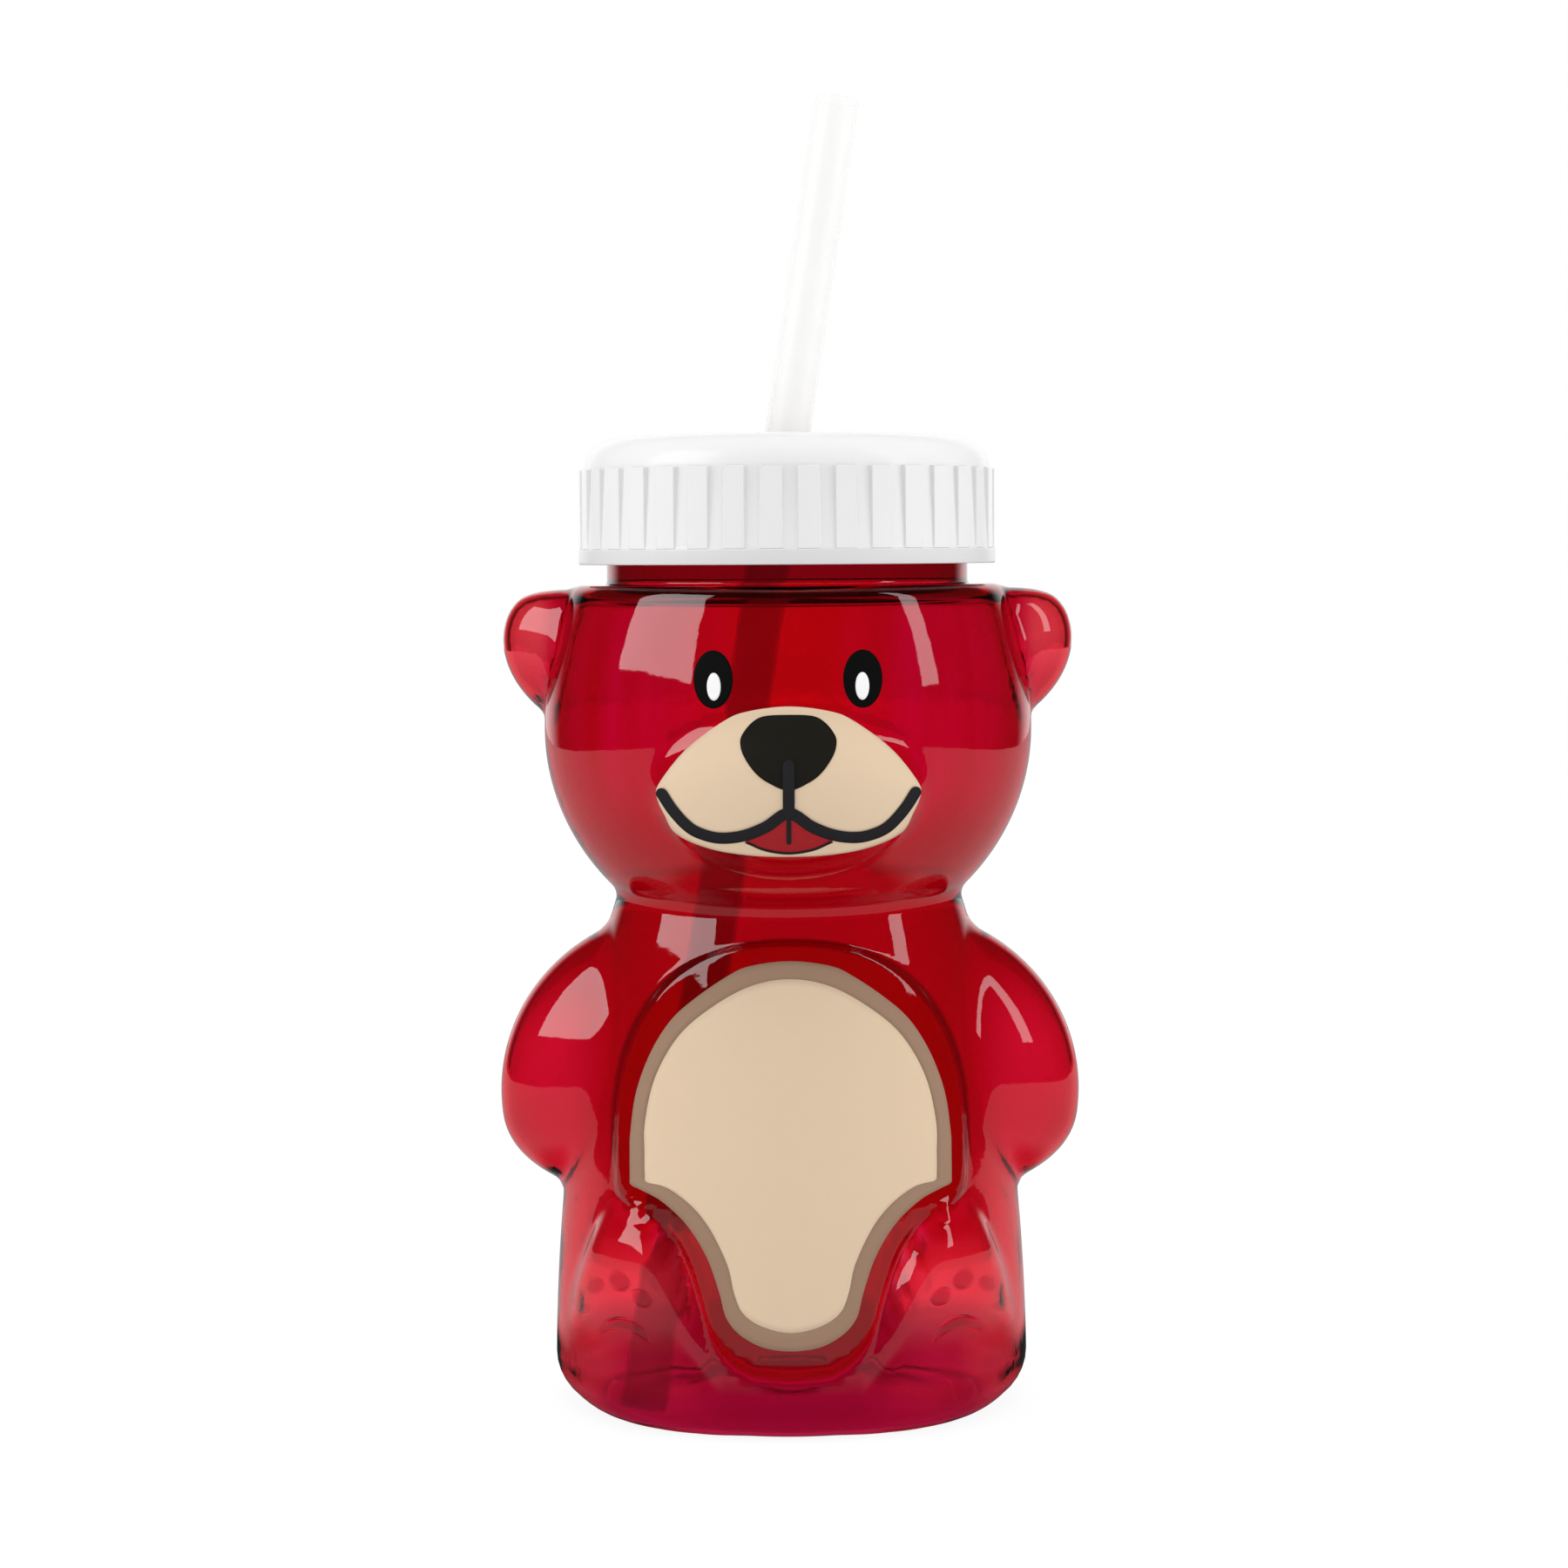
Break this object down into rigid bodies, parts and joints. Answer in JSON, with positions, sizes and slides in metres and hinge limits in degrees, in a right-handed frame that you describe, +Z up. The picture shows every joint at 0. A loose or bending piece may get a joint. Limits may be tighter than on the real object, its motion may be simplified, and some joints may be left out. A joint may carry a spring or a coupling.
{
  "type": "bear-shaped straw bottle",
  "caption": "Clear red plastic drinking bottle shaped like a sitting bear, with a printed face and belly, a ribbed white screw lid and a slanted translucent straw",
  "frame": {"origin": "centre of the flat base that the bottle stands on, below the axis of the neck and lid", "axes": "+Z up along the neck's axis, -Y out of the bear's face, +X to the bear's left"},
  "size_m": [0.1034, 0.086, 0.2322],
  "materials": {
    "red_clear_plastic": "glossy, transparent red",
    "white_plastic": "satin white",
    "clear_silicone": "satin, translucent white",
    "milky_plastic": "smooth, translucent off-white",
    "tan_ink": "flat tan printing ink",
    "brown_ink": "flat brown printing ink",
    "black_ink": "flat black printing ink",
    "white_ink": "flat white printing ink",
    "tongue_ink": "flat dark red printing ink"
  },
  "bodies": {
    "bottle": {"bear_body": "red_clear_plastic", "belly_border": "brown_ink", "belly_print": "tan_ink", "muzzle_print": "tan_ink", "nose_print": "black_ink", "mouth_print": "black_ink", "tongue_print": "tongue_ink", "eye_right": "black_ink", "eye_left": "black_ink", "eye_glint_right": "white_ink", "eye_glint_left": "white_ink"},
    "seal": {"lid_seal": "clear_silicone"},
    "lid": {"lid": "white_plastic"},
    "straw": {"straw": "milky_plastic"}
  },
  "joints": [
    {"name": "lid_lift", "type": "slide", "parent": "bottle", "child": "seal", "axis": [0, 0, 1], "range_m": [0, 0.00625]},
    {"name": "lid_turn", "type": "hinge", "parent": "seal", "child": "lid", "pos_m": [0, 0, 0.16], "axis": [0, 0, 1], "range_deg": [0, 450]},
    {"name": "straw_slide", "type": "slide", "parent": "seal", "child": "straw", "axis": [0.1507, 0.1239, 0.9808], "range_m": [0, 0.165]}
  ],
  "couplings": [
    {"joint": "lid_turn", "follows": "lid_lift", "rad_per_m": 1256.6}
  ]
}
